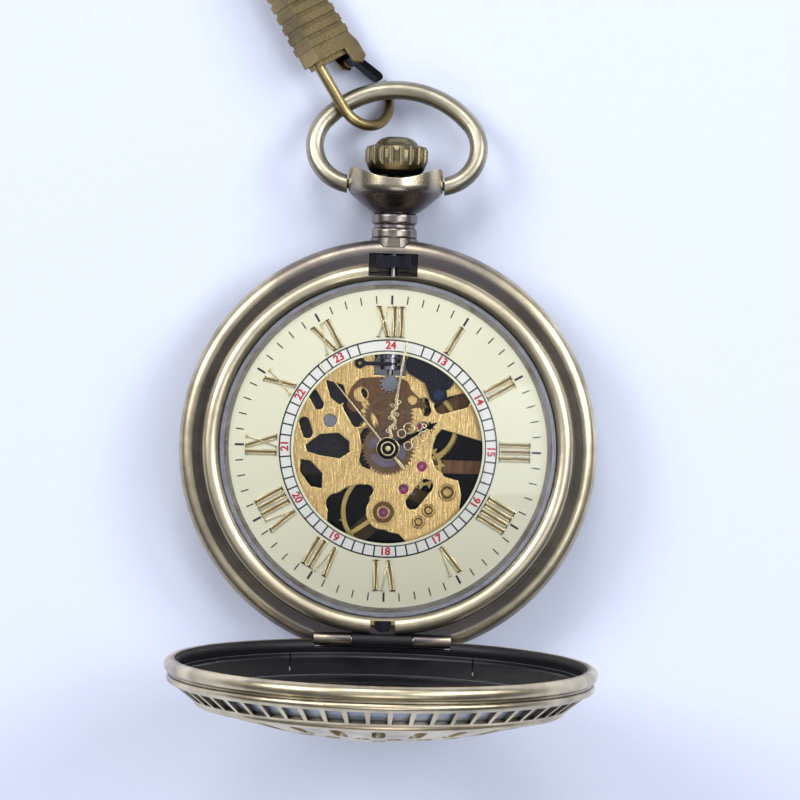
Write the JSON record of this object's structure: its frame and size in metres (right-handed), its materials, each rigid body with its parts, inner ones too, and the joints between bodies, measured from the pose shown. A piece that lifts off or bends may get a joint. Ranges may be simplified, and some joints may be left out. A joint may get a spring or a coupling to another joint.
{
  "type": "pocket watch",
  "caption": "Skeleton hunter pocket watch in antique bronze with hinged openwork cover, open dial over a working gear train, crown, bow and spring clip.",
  "frame": {"origin": "centre of the case on the plane that the back bezel rests on", "axes": "+Z towards the dial side, +Y to 12 o'clock and the pendant, +X to 3 o'clock"},
  "size_m": [0.047, 0.0927, 0.053],
  "materials": {
    "case_bronze": "antique bronze, satin",
    "crown_bronze": "darkened antique bronze",
    "clip_bronze": "dark antique brass",
    "cover_bronze": "antique bronze outside, near black inside",
    "cover_black": "glossy black lacquer",
    "bright_brass": "bright brass",
    "gilt_plate": "gilt, straight brushed",
    "gilt_wheel": "gilt, fine satin",
    "copper_bridge": "copper-gilt",
    "gilt_numerals": "gilt, polished",
    "watch_steel": "polished steel",
    "dark_steel": "dark polished steel",
    "blued_steel": "blued steel",
    "ring_steel": "dark steel-blue",
    "ruby": "polished synthetic ruby",
    "crystal": "clear",
    "dial_paint": "cream enamel",
    "hand_black": "black with gilt edges",
    "hand_gold": "pale gold"
  },
  "bodies": {
    "case": {"mid_case": "case_bronze", "pendant": "case_bronze", "front_bezel": "case_bronze", "front_crystal": "crystal", "crystal_ring": "ring_steel", "back_bezel": "case_bronze", "back_crystal": "crystal", "movement_ring": "gilt_wheel", "dial": "dial_paint", "hour_numerals": "gilt_numerals", "main_plate": "gilt_plate", "plate_jewels": "ruby", "barrel_bridge": "gilt_plate", "train_bridge": "copper_bridge", "balance_cock": "gilt_plate", "pallet_cock": "gilt_plate", "bridge_jewels": "ruby", "movement_screws": "blued_steel", "click_spring": "watch_steel", "keyless_cover": "dark_steel", "hinge_pin": "bright_brass", "lift_spring": "dark_steel"},
    "cover": {"front_cover": "cover_bronze", "cover_lining": "cover_black"},
    "catch": {"cover_catch": "dark_steel"},
    "bow": {"bow": "case_bronze"},
    "clip": {"clip_hook": "clip_bronze", "clip_sleeve": "clip_bronze", "gate_pin": "bright_brass"},
    "gate": {"clip_gate": "dark_steel"},
    "swivel": {"clip_swivel": "clip_bronze"},
    "winding": {"winding_pinion": "watch_steel"},
    "clutch": {"sliding_pinion": "watch_steel"},
    "stem": {"winding_stem": "watch_steel"},
    "crown": {"crown": "crown_bronze"},
    "setting_lever": {"setting_lever": "dark_steel"},
    "yoke": {"yoke": "dark_steel"},
    "crown_wheel": {"crown_wheel": "watch_steel"},
    "ratchet": {"barrel_arbor": "watch_steel", "ratchet_wheel": "watch_steel", "ratchet_screw": "blued_steel"},
    "click": {"click": "watch_steel"},
    "barrel": {"barrel": "gilt_wheel", "mainspring": "dark_steel"},
    "centre": {"centre_wheel": "gilt_wheel", "cannon_pinion": "watch_steel", "minute_hand": "hand_gold"},
    "third": {"third_wheel": "gilt_wheel"},
    "fourth": {"fourth_wheel": "gilt_wheel", "seconds_hand": "hand_gold"},
    "escape": {"escape_wheel": "gilt_wheel"},
    "lever": {"pallet_fork": "watch_steel", "pallet_stones": "ruby"},
    "balance": {"balance_wheel": "gilt_wheel", "balance_staff": "watch_steel", "hairspring": "blued_steel"},
    "minute": {"minute_wheel": "gilt_wheel"},
    "hour": {"hour_wheel": "gilt_wheel", "hour_hand": "hand_black"},
    "setting": {"setting_wheel": "watch_steel"}
  },
  "joints": [
    {"name": "cover_hinge", "type": "hinge", "parent": "case", "child": "cover", "pos_m": [0, -0.0215, 0.0082], "axis": [1, 0, 0], "range_deg": [-93.3, 0]},
    {"name": "catch_slide", "type": "slide", "parent": "case", "child": "catch", "axis": [0, 1, 0], "range_m": [-0.0006, 0]},
    {"name": "bow_swing", "type": "hinge", "parent": "case", "child": "bow", "pos_m": [0, 0.0297, 0.0056], "axis": [1, 0, 0], "range_deg": [0, 110]},
    {"name": "clip_swing", "type": "hinge", "parent": "bow", "child": "clip", "pos_m": [-0.00395, 0.03989, 0.00287], "axis": [0.93, 0.355, -0.095], "range_deg": [0, 20]},
    {"name": "gate_pivot", "type": "hinge", "parent": "clip", "child": "gate", "pos_m": [-0.00532, 0.04418, 0.0019], "axis": [-0.557, -0.3467, -0.7547], "range_deg": [0, 12]},
    {"name": "swivel_spin", "type": "hinge", "parent": "clip", "child": "swivel", "pos_m": [-0.01526, 0.05601, 0.0038], "axis": [-0.5284, 0.849, 0], "continuous": true},
    {"name": "crown_turn", "type": "hinge", "parent": "case", "child": "winding", "pos_m": [0, 0.0107, 0.0056], "axis": [0, 1, 0], "continuous": true},
    {"name": "crown_pull", "type": "slide", "parent": "winding", "child": "stem", "axis": [0, 1, 0], "range_m": [0, 0.0008]},
    {"name": "crown_press", "type": "slide", "parent": "stem", "child": "crown", "axis": [0, 1, 0], "range_m": [-0.0006, 0]},
    {"name": "clutch_slide", "type": "slide", "parent": "winding", "child": "clutch", "axis": [0, 1, 0], "range_m": [-0.0003, 0]},
    {"name": "setting_lever_turn", "type": "hinge", "parent": "case", "child": "setting_lever", "pos_m": [0.0026, 0.0127, 0.0069], "axis": [0, 0, 1], "range_deg": [-17.6, 0]},
    {"name": "yoke_turn", "type": "hinge", "parent": "case", "child": "yoke", "pos_m": [-0.0034, 0.00952, 0.0069], "axis": [0, 0, 1], "range_deg": [-5.2, 0]},
    {"name": "crown_wheel_turn", "type": "hinge", "parent": "case", "child": "crown_wheel", "pos_m": [0, 0.0084, 0.0025], "axis": [0, 0, 1], "continuous": true},
    {"name": "ratchet_turn", "type": "hinge", "parent": "case", "child": "ratchet", "pos_m": [-0.0066, 0.00295, 0.0025], "axis": [0, 0, 1], "continuous": true},
    {"name": "click_tilt", "type": "hinge", "parent": "case", "child": "click", "pos_m": [-0.0109, -0.0016, 0.0016], "axis": [0, 0, 1], "range_deg": [-8, 0]},
    {"name": "third_turn", "type": "hinge", "parent": "case", "child": "third", "pos_m": [0.00381, 0.00257, 0.004], "axis": [0, 0, 1], "continuous": true},
    {"name": "barrel_turn", "type": "hinge", "parent": "case", "child": "barrel", "pos_m": [-0.0066, 0.00295, 0.004], "axis": [0, 0, 1], "continuous": true},
    {"name": "centre_turn", "type": "hinge", "parent": "case", "child": "centre", "pos_m": [0, 0, 0.005], "axis": [0, 0, 1], "continuous": true},
    {"name": "fourth_turn", "type": "hinge", "parent": "case", "child": "fourth", "pos_m": [0, 0, 0.003], "axis": [0, 0, 1], "continuous": true},
    {"name": "escape_turn", "type": "hinge", "parent": "case", "child": "escape", "pos_m": [0.00388, -0.00192, 0.004], "axis": [0, 0, 1], "continuous": true},
    {"name": "minute_turn", "type": "hinge", "parent": "case", "child": "minute", "pos_m": [0, 0.0036, 0.0069], "axis": [0, 0, 1], "continuous": true},
    {"name": "hour_turn", "type": "hinge", "parent": "case", "child": "hour", "pos_m": [0, 0, 0.0072], "axis": [0, 0, 1], "continuous": true},
    {"name": "setting_wheel_turn", "type": "hinge", "parent": "case", "child": "setting", "pos_m": [0, 0.00735, 0.0069], "axis": [0, 0, 1], "continuous": true},
    {"name": "lever_rock", "type": "hinge", "parent": "case", "child": "lever", "pos_m": [0.00189, -0.00452, 0.0045], "axis": [0, 0, 1], "range_deg": [-5, 5]},
    {"name": "balance_swing", "type": "hinge", "parent": "case", "child": "balance", "pos_m": [-0.00031, -0.00721, 0.0035], "axis": [0, 0, 1], "range_deg": [-270, 270]}
  ],
  "couplings": [
    {"joint": "catch_slide", "follows": "crown_press", "ratio": 1},
    {"joint": "clutch_slide", "follows": "crown_pull", "ratio": -0.375},
    {"joint": "setting_lever_turn", "follows": "crown_pull", "rad_per_m": -381.8},
    {"joint": "yoke_turn", "follows": "crown_pull", "rad_per_m": -110.4},
    {"joint": "crown_wheel_turn", "follows": "crown_turn", "ratio": -0.65},
    {"joint": "ratchet_turn", "follows": "crown_turn", "ratio": 0.4},
    {"joint": "fourth_turn", "follows": "escape_turn", "ratio": -0.1},
    {"joint": "third_turn", "follows": "escape_turn", "ratio": 0.013333},
    {"joint": "centre_turn", "follows": "escape_turn", "ratio": -0.0016667},
    {"joint": "barrel_turn", "follows": "escape_turn", "ratio": 0.0002564},
    {"joint": "minute_turn", "follows": "escape_turn", "ratio": 0.0005556},
    {"joint": "hour_turn", "follows": "escape_turn", "ratio": -0.0001389},
    {"joint": "setting_wheel_turn", "follows": "escape_turn", "ratio": -0.0014286}
  ]
}
